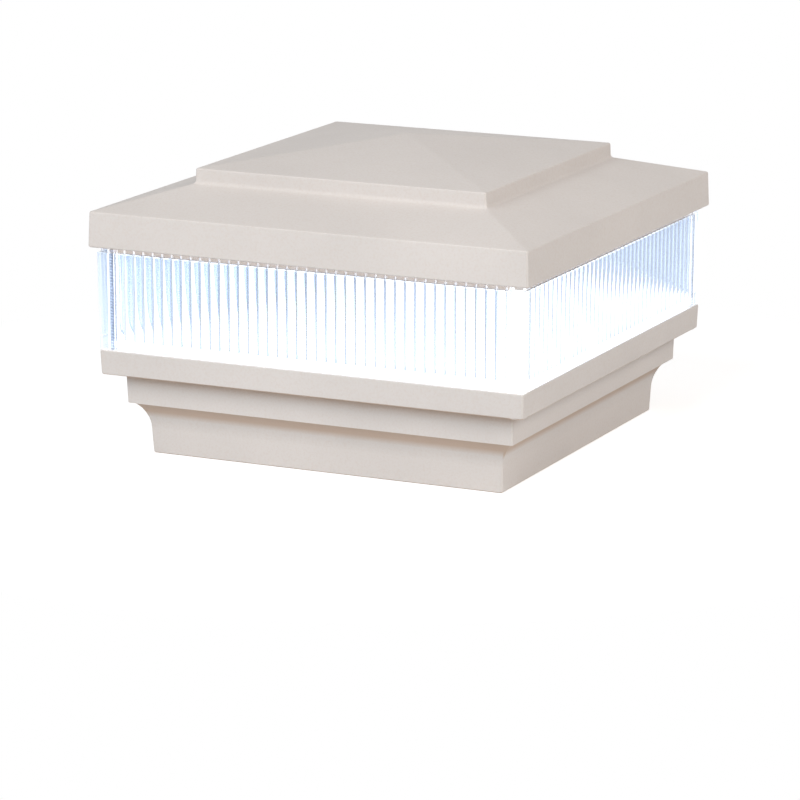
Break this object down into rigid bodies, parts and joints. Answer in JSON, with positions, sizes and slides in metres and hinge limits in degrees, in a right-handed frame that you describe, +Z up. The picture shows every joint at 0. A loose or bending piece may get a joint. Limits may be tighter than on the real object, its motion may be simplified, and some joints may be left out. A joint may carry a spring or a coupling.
{
  "type": "deck post cap light",
  "caption": "Square post cap light: moulded base with cove and skirt, clear reeded lens ring lit from a bright floor, and a two-tier low pyramid roof.",
  "frame": {"origin": "middle of the skirt's lower edge plane, which is the lowest plane of the cap", "axes": "+Z up along the post; +X and +Y square to the faces, and the terminal block lies on the +Y side of the cable inlet"},
  "size_m": [0.1904, 0.1904, 0.1245],
  "materials": {
    "greige_plastic": "satin, fine moulded grain",
    "clear_acrylic": "clear, polished",
    "opal_acrylic": "opal, lit from below",
    "white_plastic": "matt white",
    "white_board": "white solder mask",
    "led_phosphor": "lit phosphor",
    "green_board": "green solder mask",
    "black_epoxy": "moulded epoxy",
    "capacitor_sleeve": "shrink sleeve",
    "dark_ferrite": "sintered ferrite",
    "copper_wire": "enamelled copper",
    "terminal_green": "moulded nylon",
    "red_insulation": "wire insulation",
    "black_insulation": "wire insulation",
    "black_rubber": "soft rubber",
    "white_silicone": "soft white silicone",
    "grey_foam": "closed-cell foam",
    "brass": "turned brass",
    "stainless_steel": "stainless steel",
    "aluminium": "plain sheet"
  },
  "bodies": {
    "root": {"base_housing": "greige_plastic", "roof_cap": "greige_plastic", "fluted_lens": "clear_acrylic", "mounting_plate": "greige_plastic", "plate_screws": "stainless_steel", "lens_seal": "white_silicone", "roof_seal": "grey_foam", "brass_inserts": "brass", "tie_screws": "stainless_steel", "light_tray": "white_plastic", "tray_screws": "stainless_steel", "heat_spreader": "aluminium", "led_board": "white_board", "led_chips": "led_phosphor", "board_screws": "stainless_steel", "diffuser_plate": "opal_acrylic", "driver_board": "green_board", "driver_screws": "stainless_steel", "bridge_rectifier": "black_epoxy", "smoothing_capacitor": "capacitor_sleeve", "choke_core": "dark_ferrite", "choke_winding": "copper_wire", "driver_chip": "black_epoxy", "terminal_block": "terminal_green", "terminal_screws": "stainless_steel", "lead_red": "red_insulation", "lead_black": "black_insulation", "cable_grommet": "black_rubber"}
  },
  "joints": []
}
